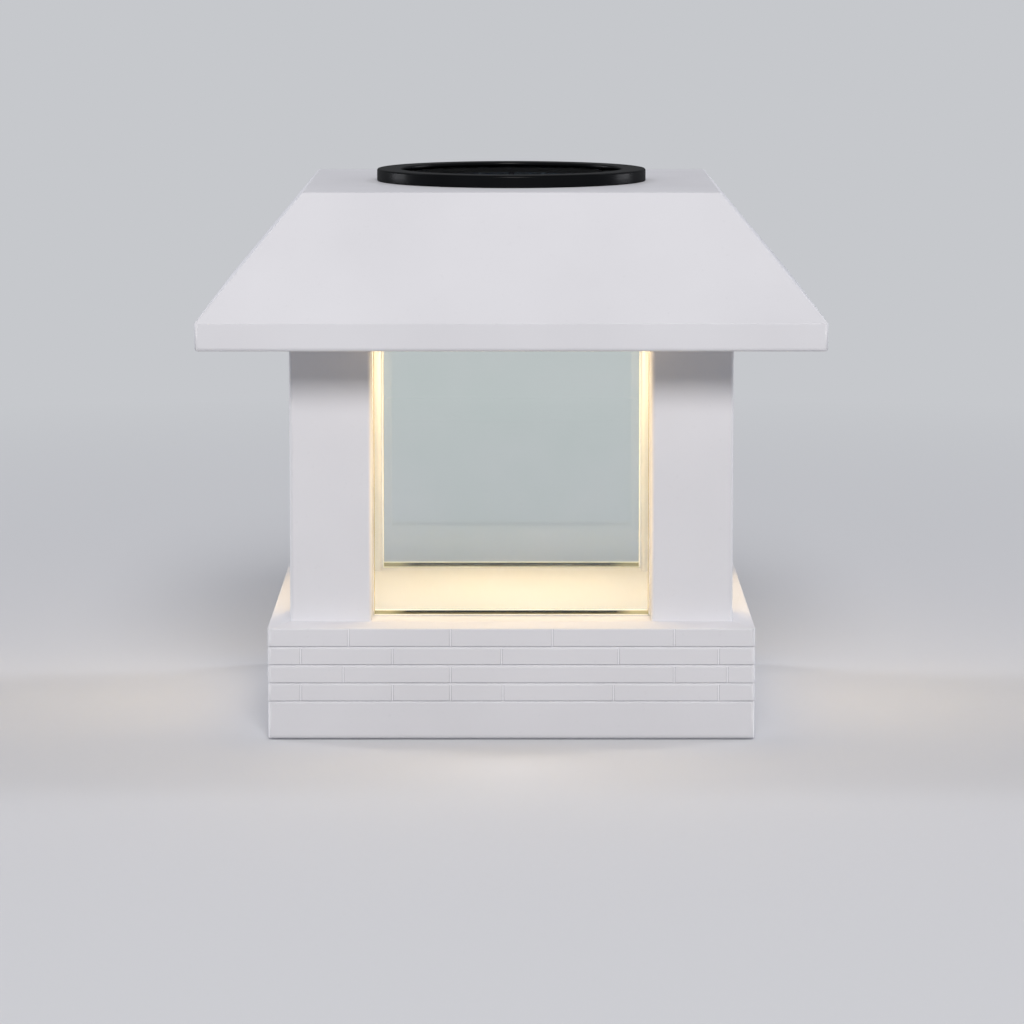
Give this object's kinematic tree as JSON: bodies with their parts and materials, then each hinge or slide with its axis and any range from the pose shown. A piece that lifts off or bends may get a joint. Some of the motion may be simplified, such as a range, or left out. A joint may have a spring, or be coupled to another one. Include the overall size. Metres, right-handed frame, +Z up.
{
  "type": "deck post cap light",
  "caption": "Square lantern that drops over a deck post: brick-pattern skirt, columns, clear panes, sloped roof and a lift-out round solar module.",
  "frame": {"origin": "bottom centre of the skirt's rim", "axes": "+Z up; the front face looks along -Y; +X to the viewer's right"},
  "size_m": [0.1824, 0.1824, 0.1643],
  "materials": {
    "white_plastic": "satin, moulded ABS",
    "clear_pane": "polished",
    "light_diffuser": "frosted polycarbonate",
    "screw_steel": "zinc plated",
    "black_rim": "satin",
    "solar_cover": "glossy",
    "solar_cell": "glossy silicon",
    "circuit_board": "solder mask",
    "black_plastic": "textured",
    "seal_rubber": "smooth",
    "board_parts": "epoxy",
    "led_lens": "clear epoxy",
    "contact_metal": "nickel plated",
    "switch_knob": "glossy",
    "battery_sleeve": "glossy",
    "lead_red": "PVC insulation",
    "lead_black": "PVC insulation"
  },
  "bodies": {
    "root": {"post_skirt": "white_plastic", "column_front_left": "white_plastic", "column_front_right": "white_plastic", "column_back_left": "white_plastic", "column_back_right": "white_plastic", "pane_front": "clear_pane", "pane_back": "clear_pane", "pane_left": "clear_pane", "pane_right": "clear_pane", "ceiling_plate": "white_plastic", "roof_shell": "white_plastic", "light_reflector": "white_plastic", "light_diffuser": "light_diffuser", "reflector_screws": "screw_steel", "column_screws_lower": "screw_steel", "column_screws_upper": "screw_steel", "roof_screws": "screw_steel"},
    "solar_module": {"solar_bezel": "black_rim", "solar_cover": "solar_cover", "solar_cells": "solar_cell", "cell_backing": "circuit_board", "module_cup": "black_plastic", "module_seal": "seal_rubber", "cup_screws": "screw_steel", "control_board": "circuit_board", "board_parts": "board_parts", "board_screws": "screw_steel", "leds": "led_lens", "switch_body": "contact_metal", "battery_cell": "battery_sleeve", "battery_spring": "contact_metal", "battery_contact": "contact_metal", "solar_lead_red": "lead_red", "solar_lead_black": "lead_black", "battery_lead_red": "lead_red", "battery_lead_black": "lead_black"},
    "battery_door": {"battery_door": "black_plastic"},
    "switch_knob": {"switch_knob": "switch_knob"}
  },
  "joints": [
    {"name": "solar_module_lift", "type": "slide", "parent": "root", "child": "solar_module", "axis": [0, 0, 1], "range_m": [0, 0.045]},
    {"name": "battery_door_slide", "type": "slide", "parent": "solar_module", "child": "battery_door", "axis": [1, 0, 0], "range_m": [0, 0.05]},
    {"name": "power_switch_slide", "type": "slide", "parent": "solar_module", "child": "switch_knob", "axis": [1, 0, 0], "range_m": [0, 0.003]}
  ]
}
